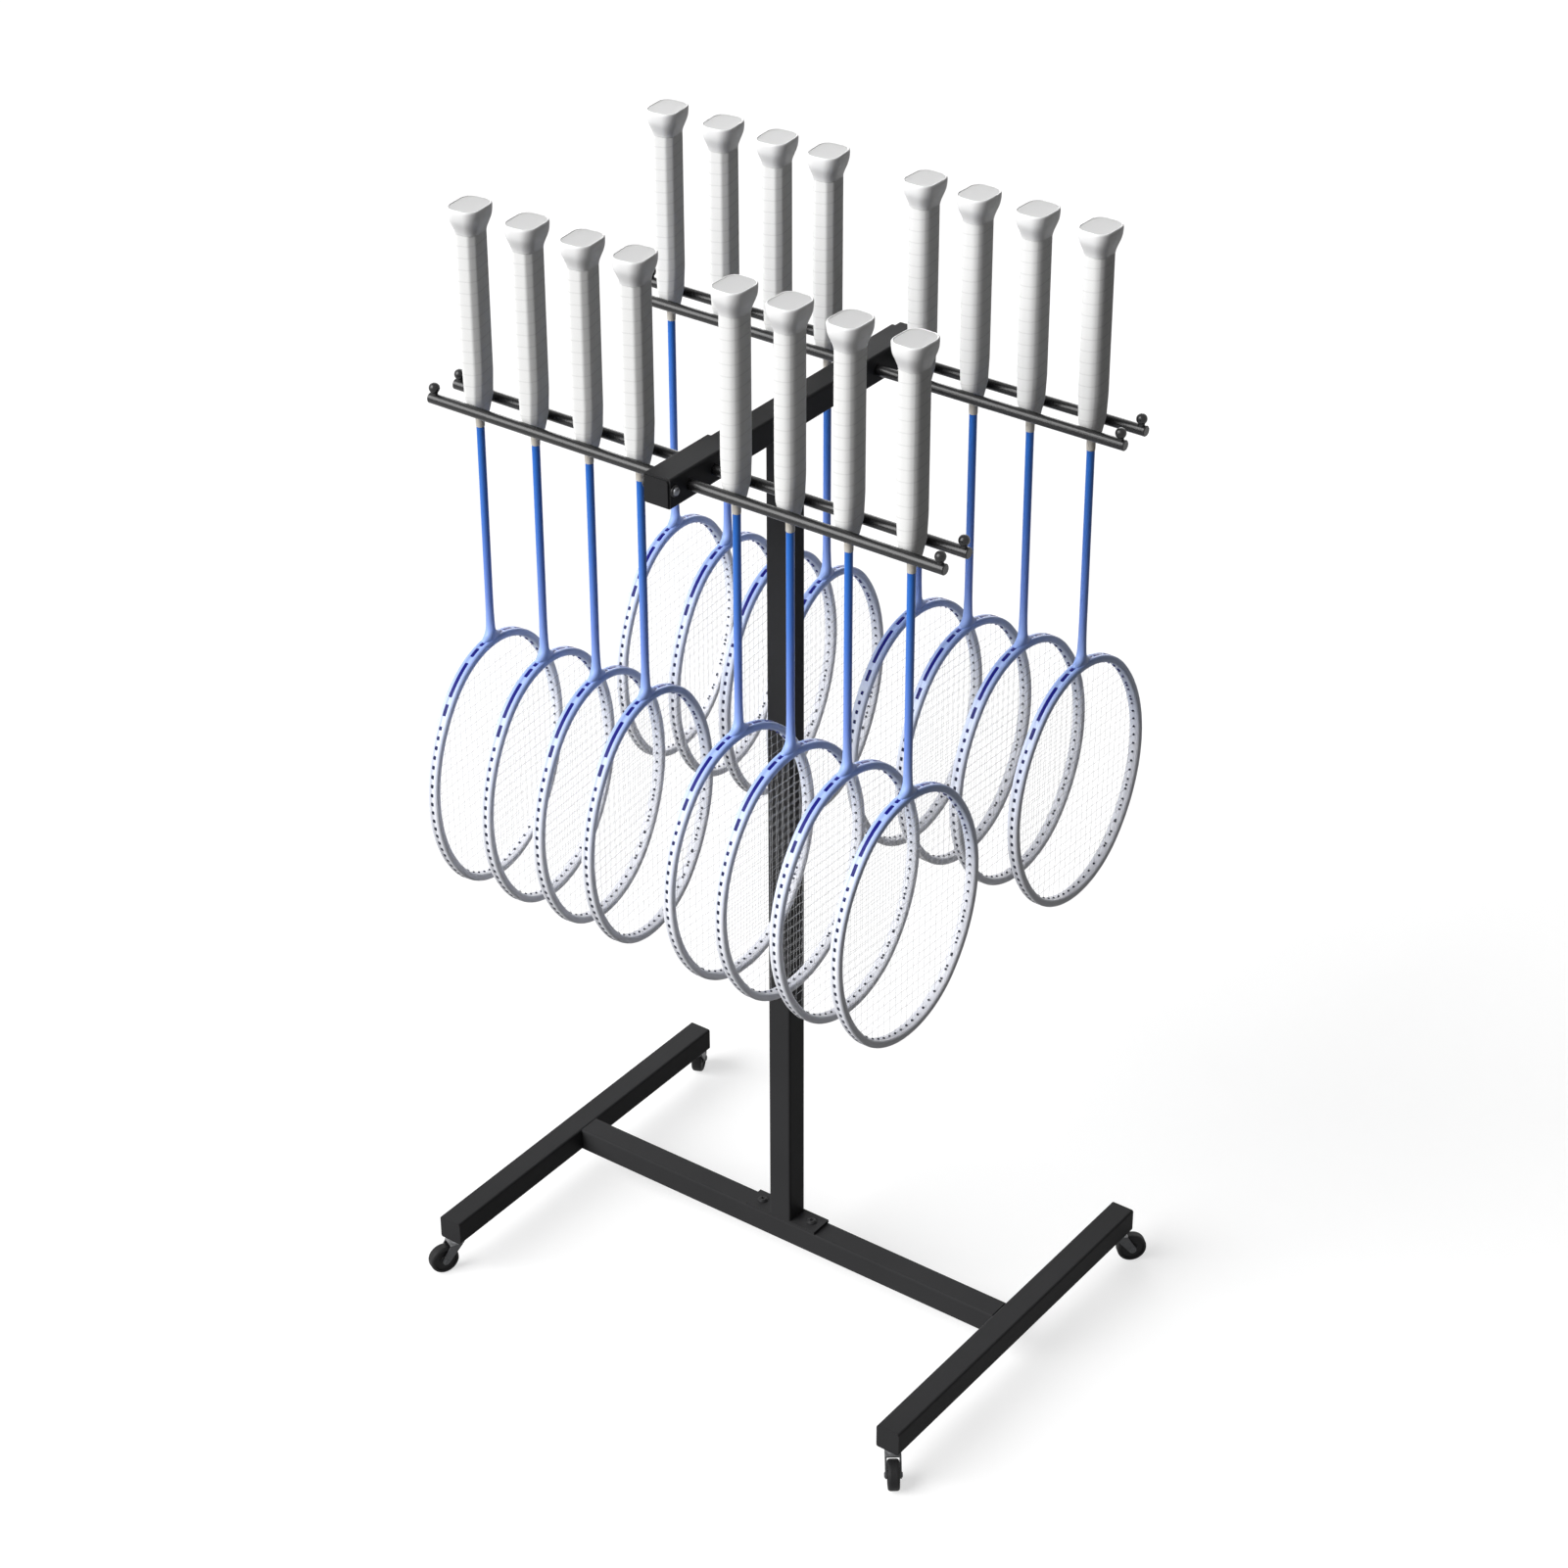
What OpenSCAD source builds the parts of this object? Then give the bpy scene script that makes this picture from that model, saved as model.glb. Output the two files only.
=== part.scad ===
// Display stand for badminton rackets, in millimetres.
// An H-shaped base on four swivel casters carries a mast, a crossbar and two pairs of rods.
// The rackets hang between the rods of a pair, held by the taper at the lower end of their grips.
// +Z is up, X runs along the rods and Y along the crossbar. The origin is on the floor under the mast.

/* [Base] */
// Outer width of the square tube of the legs and the crossbeam
base_tube = 25; // [20:0.5:35]
// Wall thickness of every steel tube
tube_wall = 1.5; // [1:0.1:2.5]
// Radius of the rounded edges of every steel tube
tube_edge_r = 2; // [1.5:0.1:3]
// Length of a leg over its end caps
leg_length = 413; // [300:1:600]
// Distance between the centre lines of the two legs
leg_spacing = 530; // [400:1:700]
// Thickness of the visible plate of an end cap
cap_plate = 2; // [1.5:0.1:3]
// Depth of the rim with which an end cap sits in its leg
leg_cap_rim = 2.5; // [1.5:0.1:2.5]

/* [Mast] */
// Outer width of the square mast tube
mast_tube = 25; // [18:0.5:28]
// Length of the mast between its foot plate and the crossbar
mast_length = 867.5; // [600:0.1:1200]
// Length of the foot plate along the crossbeam
foot_length = 84; // [70:1:120]
// Thickness of the foot plate
foot_plate_t = 3; // [2:0.5:6]
// Distance between the two foot plate bolts
foot_bolt_spacing = 60; // [54:1:64]
// Thread diameter of the foot plate bolts
foot_bolt_d = 6; // [4:0.5:6]

/* [Crossbar] */
// Length of the crossbar tube over its end caps
bar_length = 378; // [350:1:500]
// Shift of the crossbar tube towards the back
bar_shift = 4.5; // [0:0.5:8]
// Width of the crossbar tube
bar_width = 25; // [24:0.5:36]
// Height of the crossbar tube
bar_height = 25; // [24:0.5:34]
// Wall thickness of the two sleeves welded round the crossbar tube
sleeve_wall = 1.5; // [1:0.1:3]
// Distance of a sleeve's inner end from the middle of the stand
sleeve_start = 95; // [50:1:105]
// How far the plug of an end cap reaches past its cross bolt
plug_reach = 6; // [4:0.5:8]
// Distance of a cross bolt from the outer end of its sleeve
end_bolt_inset = 5; // [4.5:0.5:8]
// Height of the cross bolts above the middle of the crossbar
end_bolt_rise = 2.2; // [0:0.1:3]
// Thread diameter of the cross bolts
end_bolt_d = 6; // [4:0.5:6]
// Diameter of the round heads on both ends of a cross bolt
end_bolt_head_d = 10.5; // [9:0.5:12]
// How far a round head stands out of its sleeve
end_bolt_head_h = 4; // [3:0.1:6]

/* [Rods] */
// Diameter of the four rods
rod_d = 10; // [8:0.1:10.5]
// Length of a rod
rod_length = 548; // [480:1:700]
// Distance between the axes of the two rods of a pair
rod_pitch = 34.5; // [33:0.1:36]
// Distance from the middle of a pair of rods to the end of the unshifted crossbar
row_inset = 50.7; // [44:0.1:60]
// Height of the rod axes above the underside of the crossbar
rod_rise = 11.8; // [9:0.1:13]
// Chamfer at the ends of a rod
rod_chamfer = 0.8; // [0.3:0.1:1.5]
// Diameter of the ball stops
ball_d = 10; // [8:0.1:10]
// Height of the ball centres above the rod axis
ball_rise = 10.5; // [10:0.1:13]
// Diameter of the neck under a ball
ball_neck_d = 6; // [4:0.1:7]
// Distance of a ball from the end of its rod
ball_inset = 5.5; // [5:0.1:8]

/* [Casters] */
// Diameter of the wheels
wheel_d = 30; // [26:0.5:32]
// Width of the tread
wheel_width = 11; // [9:0.1:12]
// Diameter of the axles
axle_d = 4; // [3:0.1:4.5]
// Horizontal distance between swivel axis and axle
caster_trail = 15.5; // [14:0.1:18]
// Distance of the swivel axis from the end of its leg
caster_inset = 9; // [9:0.1:12]
// Sheet thickness of the forks
fork_sheet = 1.6; // [1.2:0.1:2]
// Diameter of the pin that a fork turns on
swivel_d = 6; // [5:0.1:6.5]
// Height of the tapered collar between fork and leg
collar_height = 4.1; // [3:0.1:8]
// Diameter of the collar under the leg
collar_d = 14; // [12:0.1:18]
// Diameter of the collar above the fork
collar_foot_d = 9; // [8:0.1:9.5]
// Diameter of the stem inside the leg
stem_d = 8; // [6:0.1:8]
// Direction of the front left caster, from its swivel axis to its axle
turn_front_left = 244; // [0:1:360]
// Direction of the front right caster
turn_front_right = 308; // [0:1:360]
// Direction of the back right caster
turn_back_right = 46; // [0:1:360]
// Direction of the back left caster
turn_back_left = 115; // [0:1:360]

/* [Rackets] */
// Length of a racket from butt to head
racket_length = 675; // [650:1:680]
// Length of the grip from its lower end to the butt
grip_length = 197; // [180:1:210]
// Width of the grip along the rods
grip_width = 22; // [20:0.1:24]
// Depth of the grip across the rods
grip_depth = 27; // [25.5:0.1:28]
// Width of the cut-off edges of the eight-sided grip, measured along each side
grip_chamfer = 5.2; // [4:0.1:6]
// Width of the butt cap along the rods
butt_width = 30; // [26:0.1:34]
// Depth of the butt cap across the rods
butt_depth = 36.5; // [32:0.1:40]
// Height of the butt cap
butt_height = 24.5; // [20:0.5:32]
// Width of the lower end of the grip along the rods
grip_end_width = 14.8; // [13:0.1:16]
// Depth of the lower end of the grip across the rods
grip_end_depth = 19.6; // [18:0.1:21]
// Growth of the grip's half depth for each millimetre upwards, in the seat between the rods
seat_slope = 0.275; // [0.25:0.005:0.4]
// Length of the cone between grip and shaft
cone_length = 13; // [10:0.5:16]
// Diameter of the cone at the grip
cone_d = 9; // [8.8:0.1:12]
// Diameter of the shaft
shaft_d = 7.4; // [6.5:0.1:8]
// Length of shaft that is glued into the handle
shaft_socket = 60; // [40:1:80]
// Width of the racket's head
head_width = 206.8; // [190:0.1:215]
// Height of the racket's head
head_height = 251.8; // [240:0.1:260]
// Radius of the head's outline at its top and bottom
head_end_r = 90; // [84:0.5:92]
// Radial thickness of the frame
frame_t = 7; // [6:0.1:8]
// Depth of the frame across the string bed
frame_depth = 11.5; // [10:0.1:13]
// Radius of the frame's rounded edges
frame_edge_r = 2.4; // [1.5:0.1:2.8]
// Width of the string groove in the frame's outer face
groove_width = 3.4; // [2.5:0.1:4]
// Depth of the string groove
groove_depth = 0.7; // [0.4:0.1:1.2]
// Height of the fillets between shaft and frame
throat_fillet = 9; // [6:0.5:12]
// Distance between neighbouring strings of the bed
string_pitch = 20; // [16:0.5:24]
// Thickness of a string
string_d = 0.9; // [0.7:0.1:1.2]
// Gap between the crossbar's side and the middle of the nearest racket
racket_bar_gap = 39; // [32:0.5:60]
// Gap between the end of the rods and the middle of the nearest racket
racket_end_gap = 43.5; // [40:0.5:60]
// Shift of all the rackets along the rods, as they happen to hang
racket_shift = -1.5; // [-5:0.1:5]
// Turn of the rackets left of the crossbar about their own axis
turn_left = 5.2; // [-8:0.1:8]
// Turn of the rackets right of the crossbar about their own axis
turn_right = -1.8; // [-8:0.1:8]

/* [Hidden] */
$fn = 64;
ROWS = ["front", "back"];
CORNERS = ["front_left", "front_right", "back_right", "back_left"];
RACKETS_IN_ROW = 8;
EDGE_STEPS = 3;
BUTT_STEPS = 4;

// Clearances
fit = 0.05;        // radial, between a pin and its bore
seat_gap = 0.3;    // between pieces that move past each other
slack = 0.1;       // between pieces that are pushed or welded together

// Heights of the base
wheel_r = wheel_d / 2;
fork_z = wheel_r * 2 + 1;
fork_top = fork_z + fork_sheet;
collar_z = fork_top + seat_gap;
base_z = collar_z + collar_height;
base_top = base_z + base_tube;

// Places of the casters, in the order of CORNERS
caster_x = leg_spacing / 2;
caster_y = leg_length / 2 - caster_inset;
caster_places = [[-caster_x, -caster_y], [caster_x, -caster_y], [caster_x, caster_y], [-caster_x, caster_y]];
caster_turns = [turn_front_left, turn_front_right, turn_back_right, turn_back_left];

// Forks
fork_gap = wheel_width + 2 * (seat_gap + 0.3);
fork_width = fork_gap + 2 * fork_sheet;
fork_boss_r = axle_d / 2 + 1.8;
fork_back = 3;
fork_front = 10;
fork_lip_r = collar_foot_d / 2 + 1.2;
fork_lip_wall = 0.7;
fork_lip_h = 0.9;
rivet_head_r = 4.5;
rivet_head_h = 1.3;
stem_length = 15;

// Heights of the mast and the top
mast_z = base_top + foot_plate_t;
bar_z = mast_z + mast_length;
bar_mid_z = bar_z + bar_height / 2;
rod_r = rod_d / 2;
rod_z = bar_z + rod_rise;
row_y = bar_length / 2 - row_inset;
sleeve_skin = slack + sleeve_wall;
sleeve_half = bar_width / 2 + sleeve_skin;
sleeve_end = bar_length / 2 - bar_shift - cap_plate;
end_bolt_y = sleeve_end - end_bolt_inset;
end_bolt_z = bar_mid_z + end_bolt_rise;

// Bolts
bolt_head_factor = 1.7;
bolt_head_h = 2.4;
foot_bolt_length = 16;
nut_factor = 1.65;
nut_height = 5;

// Rings of the tapered end of a grip: height, half width along X, half depth along Y, cut-off edge
nose_h = 4;
taper_top_h = nose_h + (grip_depth - grip_end_depth) / 2 / seat_slope;
nose_ring = [0, 6.5, 8.5, 3.1];
seat_ring = [nose_h, grip_end_width / 2, grip_end_depth / 2, grip_chamfer * 0.69];
taper_top_ring = [taper_top_h, grip_width / 2 - 1.4, grip_depth / 2, grip_chamfer * 0.94];
shoulder_h = 41;

// How far a ring reaches across the rods when its racket is turned about its own axis
function turned_reach(ring, turn) = (ring[1] - ring[3]) * abs(sin(turn)) + ring[2] * cos(turn);

// Height of the rods' axes above the lower end of a turned grip whose taper lies seat_gap off both rods
function grip_hang(turn) = let (
    low = turned_reach(seat_ring, turn),
    slope = (turned_reach(taper_top_ring, turn) - low) / (taper_top_ring[0] - seat_ring[0])
) seat_ring[0] + (rod_pitch / 2 - (rod_r + seat_gap) / cos(atan(slope)) - low) / slope;

// The racket below its grip, in heights above the grip's lower end
head_bottom_h = grip_length - racket_length;
head_mid_h = head_bottom_h + head_height / 2;
head_top_h = head_bottom_h + head_height;

// Outline of the head: an oval of four arcs
head_half_w = head_width / 2;
head_half_h = head_height / 2;
end_centre = head_half_h - head_end_r;
side_r = (pow(head_half_w, 2) + pow(end_centre, 2) - pow(head_end_r, 2)) / 2 / (head_half_w - head_end_r);
side_centre = side_r - head_half_w;
end_sweep = 2 * atan2(side_centre, end_centre);
seam_lap = 0.6;    // degrees
seam_skin = 0.01;

// Places of the rackets of one row, from left to right
spread = [0, 0.313, 0.648, 1];
first_x = bar_width / 2 + racket_bar_gap;
last_x = rod_length / 2 - racket_end_gap;
half_row = [for (s = spread) first_x + (last_x - first_x) * s];
racket_x = concat([for (i = [3 : -1 : 0]) racket_shift - half_row[i]], [for (x = half_row) racket_shift + x]);

BLACK = [0.13, 0.13, 0.14];
DARK = [0.08, 0.08, 0.08];
ZINC = [0.62, 0.63, 0.65];
WHITE = [0.93, 0.93, 0.93];
BLUE = [0.25, 0.45, 0.9];

// Corner radius inside a tube
function inner_edge_r(wall) = max(0.3, tube_edge_r - wall);

// Outline of a rectangle with rounded corners, counter-clockwise. One step makes a straight chamfer.
function rounded_outline(half_x, half_y, r, steps) = [
    for (quarter = [0 : 3], k = [0 : steps])
        let (
            a = 90 * (quarter + k / steps),
            side_x = quarter == 0 || quarter == 3 ? 1 : -1,
            side_y = quarter < 2 ? 1 : -1
        )
        [side_x * (half_x - r) + r * cos(a), side_y * (half_y - r) + r * sin(a)]
];

// A square or rectangular tube along Z, from z = 0 upwards
module tube(width, depth, length, wall) {
    linear_extrude(length) difference() {
        polygon(rounded_outline(width / 2, depth / 2, tube_edge_r, EDGE_STEPS));
        polygon(rounded_outline(width / 2 - wall, depth / 2 - wall, inner_edge_r(wall), EDGE_STEPS));
    }
}

// The same tube, lying centred along Y with its underside at z = 0
module tube_along_y(width, height, length, wall) {
    translate([0, length / 2, height / 2]) rotate([90, 0, 0]) tube(width, height, length, wall);
}

// The same tube, lying centred along X with its underside at z = 0
module tube_along_x(width, height, length, wall) {
    rotate([0, 0, 90]) tube_along_y(width, height, length, wall);
}

module leg(side) {
    color(BLACK) difference() {
        translate([side * caster_x, 0, base_z])
            tube_along_y(base_tube, base_tube, leg_length - 2 * cap_plate, tube_wall);
        for (end = [-1, 1])
            translate([side * caster_x, end * caster_y, base_z - 1])
                cylinder(r = stem_d / 2 + fit, h = tube_wall + 2);
    }
}

module crossbeam() {
    color(BLACK) difference() {
        translate([0, 0, base_z]) tube_along_x(base_tube, base_tube, leg_spacing - base_tube, tube_wall);
        for (side = [-1, 1])
            translate([side * foot_bolt_spacing / 2, 0, base_top - tube_wall - 1])
                cylinder(r = foot_bolt_d / 2 + slack, h = tube_wall + 2);
    }
}

// A push-in cap for a tube that ends at y = 0 and runs towards -Y: the plate outside, the rim inside
module push_in_cap(width, height, rim) {
    inset = tube_wall + slack;
    translate([0, 0, height / 2]) rotate([90, 0, 0]) {
        translate([0, 0, -cap_plate]) linear_extrude(cap_plate)
            polygon(rounded_outline(width / 2, height / 2, tube_edge_r, EDGE_STEPS));
        linear_extrude(rim)
            polygon(rounded_outline(width / 2 - inset, height / 2 - inset, inner_edge_r(tube_wall) + 0.3, 1));
    }
}

module leg_end_caps() {
    color(DARK) for (x = [-caster_x, caster_x], end = [0, 180])
        translate([x, 0, base_z]) rotate([0, 0, end]) translate([0, leg_length / 2 - cap_plate, 0])
            push_in_cap(base_tube, base_tube, leg_cap_rim);
}

module mast() {
    color(BLACK) translate([0, 0, mast_z]) tube(mast_tube, mast_tube, mast_length, tube_wall);
}

module mast_foot_plate() {
    color(BLACK) difference() {
        translate([-foot_length / 2, -base_tube / 2, base_top]) cube([foot_length, base_tube, foot_plate_t]);
        for (side = [-1, 1])
            translate([side * foot_bolt_spacing / 2, 0, base_top - 1])
                cylinder(r = foot_bolt_d / 2 + slack, h = foot_plate_t + 2);
    }
}

// A low round bolt head with a hexagon socket, standing on z = 0
module button_head(d) {
    head_r = d * bolt_head_factor / 2;
    difference() {
        union() {
            cylinder(r = head_r, h = bolt_head_h / 3);
            translate([0, 0, bolt_head_h / 3])
                cylinder(r1 = head_r, r2 = head_r * 0.65, h = bolt_head_h * 2 / 3);
        }
        translate([0, 0, bolt_head_h / 2]) cylinder(r = d * 0.33, h = bolt_head_h, $fn = 6);
    }
}

module foot_plate_bolts() {
    color(DARK) for (side = [-1, 1]) translate([side * foot_bolt_spacing / 2, 0, mast_z]) {
        button_head(foot_bolt_d);
        translate([0, 0, -foot_bolt_length]) cylinder(d = foot_bolt_d, h = foot_bolt_length);
        translate([0, 0, -foot_plate_t - tube_wall - nut_height]) difference() {
            cylinder(d = foot_bolt_d * nut_factor * 1.1547, h = nut_height, $fn = 6);
            translate([0, 0, -1]) cylinder(r = foot_bolt_d / 2 + fit, h = nut_height + 2);
        }
    }
}

module crossbar() {
    color(BLACK) difference() {
        union() {
            translate([0, bar_shift, bar_z])
                tube_along_y(bar_width, bar_height, bar_length - 2 * cap_plate, tube_wall);
            for (end = [-1, 1])
                translate([0, end * (sleeve_start + sleeve_end) / 2, bar_z - sleeve_skin])
                    tube_along_y(2 * sleeve_half, bar_height + 2 * sleeve_skin, sleeve_end - sleeve_start,
                        sleeve_wall);
        }
        for (y = rod_places())
            translate([0, y, rod_z]) rotate([0, 90, 0])
                cylinder(r = rod_r + fit, h = 2 * sleeve_half + 2, center = true);
        end_bolt_bores();
    }
}

// The two bores of the cross bolts
module end_bolt_bores() {
    for (end = [-1, 1])
        translate([0, end * end_bolt_y, end_bolt_z]) rotate([0, 90, 0])
            cylinder(r = end_bolt_d / 2 + slack, h = 2 * sleeve_half + 2, center = true);
}

// The rods' places along the crossbar, from front to back
function rod_places() = [for (row = [-1, 1], side = [-1, 1]) row * row_y + side * rod_pitch / 2];

module crossbar_end_caps() {
    color(DARK) difference() {
        for (end = [-1, 1])
            translate([0, bar_shift + end * (bar_length / 2 - cap_plate), bar_z])
                rotate([0, 0, end == 1 ? 0 : 180]) push_in_cap(bar_width, bar_height,
                    bar_length / 2 - cap_plate + end * bar_shift - end_bolt_y + plug_reach);
        end_bolt_bores();
    }
}

// A round head with its flat side on z = 0: a short drum with a domed top
module round_head(r, h) {
    drum = h * 0.45;
    dome = h - drum;
    dome_r = (r * r + dome * dome) / 2 / dome;
    cylinder(r = r, h = drum);
    intersection() {
        translate([0, 0, h - dome_r]) sphere(r = dome_r);
        translate([0, 0, drum - 0.01]) cylinder(r = r, h = dome + 1);
    }
}

module crossbar_bolts() {
    nut_bore = end_bolt_head_h * 0.6;
    color(DARK) for (end = [-1, 1]) translate([0, end * end_bolt_y, end_bolt_z]) {
        translate([sleeve_half, 0, 0]) rotate([0, 90, 0]) round_head(end_bolt_head_d / 2, end_bolt_head_h);
        translate([-sleeve_half - nut_bore + slack, 0, 0]) rotate([0, 90, 0])
            cylinder(d = end_bolt_d, h = 2 * sleeve_half + nut_bore);
        translate([-sleeve_half, 0, 0]) rotate([0, -90, 0]) difference() {
            round_head(end_bolt_head_d / 2, end_bolt_head_h);
            translate([0, 0, -1]) cylinder(r = end_bolt_d / 2 + fit, h = nut_bore + 1);
        }
    }
}

module rod(index) {
    color(BLACK) translate([0, rod_places()[index], rod_z]) rotate([0, 90, 0]) {
        cylinder(r = rod_r, h = rod_length - 2 * rod_chamfer, center = true);
        for (end = [0, 1]) mirror([0, 0, end])
            translate([0, 0, rod_length / 2 - rod_chamfer])
                cylinder(r1 = rod_r, r2 = rod_r - rod_chamfer, h = rod_chamfer);
    }
}

module rod_ball_stops() {
    color(BLACK) for (y = rod_places(), side = [-1, 1])
        translate([side * (rod_length / 2 - ball_inset), y, rod_z]) difference() {
            union() {
                translate([0, 0, ball_rise]) sphere(d = ball_d);
                cylinder(d = ball_neck_d, h = ball_rise);
            }
            rotate([0, 90, 0]) cylinder(r = rod_r + fit, h = 2 * ball_d, center = true);
        }
}

// Moves its children to a caster, with +X from the swivel axis towards the axle
module at_caster(corner) {
    translate(caster_places[corner]) rotate([0, 0, caster_turns[corner]]) children();
}

// Riveted foot, swivel pin, tapered collar and stem, all on the swivel axis
module caster_stem() {
    translate([0, 0, fork_z - seat_gap - rivet_head_h]) cylinder(r = rivet_head_r, h = rivet_head_h);
    translate([0, 0, fork_z - seat_gap]) cylinder(d = swivel_d, h = fork_sheet + 2 * seat_gap);
    translate([0, 0, collar_z]) cylinder(r1 = collar_foot_d / 2, r2 = collar_d / 2, h = collar_height);
    translate([0, 0, base_z]) cylinder(d = stem_d, h = stem_length);
}

module caster_stems() {
    color(DARK) for (corner = [0 : 3]) at_caster(corner) caster_stem();
}

// One cheek of the fork, seen from the side: it narrows from the bridge down to the axle boss
module fork_cheek() {
    boss = [caster_trail, wheel_r];
    difference() {
        union() {
            polygon(concat(
                [[fork_front, fork_z], [fork_front, fork_top], [-fork_back, fork_top], [-fork_back, fork_z]],
                [for (side = [-1, 1])
                    let (
                        start = [side == -1 ? -fork_back : fork_front, fork_z],
                        toward = atan2(start[1] - boss[1], start[0] - boss[0]),
                        edge = toward - side * acos(fork_boss_r / norm(start - boss))
                    )
                    boss + fork_boss_r * [cos(edge), sin(edge)]]
            ));
            translate(boss) circle(r = fork_boss_r);
        }
        translate(boss) circle(r = axle_d / 2 + fit);
    }
}

// The bridge is round about the swivel axis, with a raised lip round the foot of the collar
module caster_fork(corner) {
    bridge_r = fork_width / 2;
    color(ZINC) at_caster(corner) {
        difference() {
            union() {
                translate([0, 0, fork_z]) cylinder(r = bridge_r, h = fork_sheet);
                translate([-fork_back, -bridge_r, fork_z])
                    cube([fork_back + fork_front, 2 * bridge_r, fork_sheet]);
                translate([0, 0, fork_z])
                    cylinder(r = fork_lip_r + fork_lip_wall, h = fork_sheet + fork_lip_h);
            }
            translate([0, 0, fork_z - 1]) cylinder(r = swivel_d / 2 + fit, h = fork_sheet + 2);
            translate([0, 0, fork_top]) cylinder(r = fork_lip_r, h = fork_lip_h + 1);
        }
        for (side = [fork_gap / 2, -fork_width / 2])
            translate([0, side + fork_sheet, 0]) rotate([90, 0, 0]) linear_extrude(fork_sheet) fork_cheek();
    }
}

module caster_axle(corner) {
    head_h = 1;
    color(ZINC) at_caster(corner) translate([caster_trail, 0, wheel_r]) rotate([90, 0, 0]) {
        cylinder(d = axle_d, h = fork_width, center = true);
        for (end = [0, 1]) mirror([0, 0, end])
            translate([0, 0, fork_width / 2]) cylinder(r1 = axle_d * 0.8, r2 = axle_d * 0.55, h = head_h);
    }
}

// Half of the wheel's section: x from the axle outwards, y from the middle of the tread to its side
function wheel_half_section() = let (
    half = wheel_width / 2,
    hub_r = axle_d / 2 + 3,
    web_r = wheel_r - 3.5
) [[axle_d / 2 + fit, half + 0.3], [hub_r, half + 0.3], [hub_r + 0.5, half - 1.4], [web_r, half - 1.4],
   [web_r + 0.5, half], [wheel_r - 1.5, half], [wheel_r - 0.4, half - 1], [wheel_r, half - 2.4]];

module caster_wheel(corner) {
    half = wheel_half_section();
    outline = concat(half, [for (i = [len(half) - 1 : -1 : 0]) [half[i][0], -half[i][1]]]);
    color(DARK) at_caster(corner) translate([caster_trail, 0, wheel_r]) rotate([90, 0, 0])
        rotate_extrude($fn = 96) polygon(outline);
}

// A bar that runs straight from each ring to the next. A ring is its height, half width along X,
// half width along Y and corner radius.
module lofted_bar(rings, steps) {
    n = 4 * (steps + 1);
    top = (len(rings) - 1) * n;
    polyhedron(
        points = [for (ring = rings, point = rounded_outline(ring[1], ring[2], ring[3], steps))
            [point[0], point[1], ring[0]]],
        faces = concat(
            [[for (k = [0 : n - 1]) k], [for (k = [n - 1 : -1 : 0]) top + k]],
            [for (j = [0 : n : top - n], k = [0 : n - 1])
                each [[j + k, j + n + k, j + n + (k + 1) % n], [j + k, j + n + (k + 1) % n, j + (k + 1) % n]]]
        )
    );
}

// Moves its children from the grip's own place, lower end at z = 0, to a racket of a row
module at_racket(row, i) {
    turn = i < RACKETS_IN_ROW / 2 ? turn_left : turn_right;
    translate([racket_x[i], (row == 0 ? -1 : 1) * row_y, rod_z - grip_hang(turn)])
        rotate([0, 0, turn]) children();
}

module racket_grip() {
    w = grip_width / 2;
    d = grip_depth / 2;
    wrap_h = grip_length - butt_height;
    bw = butt_width / 2;
    bd = butt_depth / 2;
    difference() {
        union() {
            color(WHITE) lofted_bar([nose_ring, seat_ring, taper_top_ring,
                [shoulder_h, w, d, grip_chamfer], [wrap_h, w, d, grip_chamfer]], 1);
            color(WHITE) translate([0, 0, -cone_length])
                cylinder(r1 = shaft_d / 2 + 0.4, r2 = cone_d / 2, h = cone_length - slack);
        }
        translate([0, 0, -cone_length - 1]) cylinder(r = shaft_d / 2 + fit, h = shaft_socket + 1);
    }
    color(WHITE) lofted_bar([
        [wrap_h + slack, w + 0.4, d + 0.4, 5.5],
        [wrap_h + 3, w + 0.7, d + 0.8, 5.8],
        [wrap_h + 8, (w + bw) / 2 + 0.6, (d + bd) / 2 + 0.7, 6.8],
        [wrap_h + 14, bw, bd, 8],
        [grip_length - 1.5, bw, bd, 8],
        [grip_length - 0.4, bw - 0.5, bd - 0.5, 7.6],
        [grip_length, bw - 1.2, bd - 1.2, 7]], BUTT_STEPS);
}

// Section of the frame: x from its inner face outwards, y across the string bed
module frame_section(skin) {
    r = frame_edge_r - skin;
    half = frame_depth / 2 - skin;
    difference() {
        union() {
            translate([skin, r - half]) square([frame_t - 2 * skin, 2 * (half - r)]);
            translate([skin + r, -half]) square([frame_t - 2 * (skin + r), 2 * half]);
            for (x = [skin + r, frame_t - skin - r], y = [r - half, half - r])
                translate([x, y]) circle(r = r);
        }
        translate([frame_t - groove_depth - skin, -groove_width / 2 - skin])
            square([groove_depth + 1, groove_width + 2 * skin]);
    }
}

// One arc of the frame, with its centre at [y, z] and its middle in the direction given.
// The side arcs are thinner by a skin all round and reach a little way into the end arcs.
module frame_arc(centre, radius, direction, sweep, skin) {
    translate(centre) rotate([0, 0, direction - sweep / 2])
        rotate_extrude(angle = sweep, $fn = 96) translate([radius - frame_t, 0]) frame_section(skin);
}

// Half height of the string bed at a distance y from its middle line
function bed_half_height(y) = let (
    inner_end_r = head_end_r - frame_t,
    inner_side_r = side_r - frame_t
) y <= inner_end_r * sin(end_sweep / 2)
    ? end_centre + sqrt(pow(inner_end_r, 2) - y * y)
    : sqrt(pow(inner_side_r, 2) - pow(y + side_centre, 2));

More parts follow.
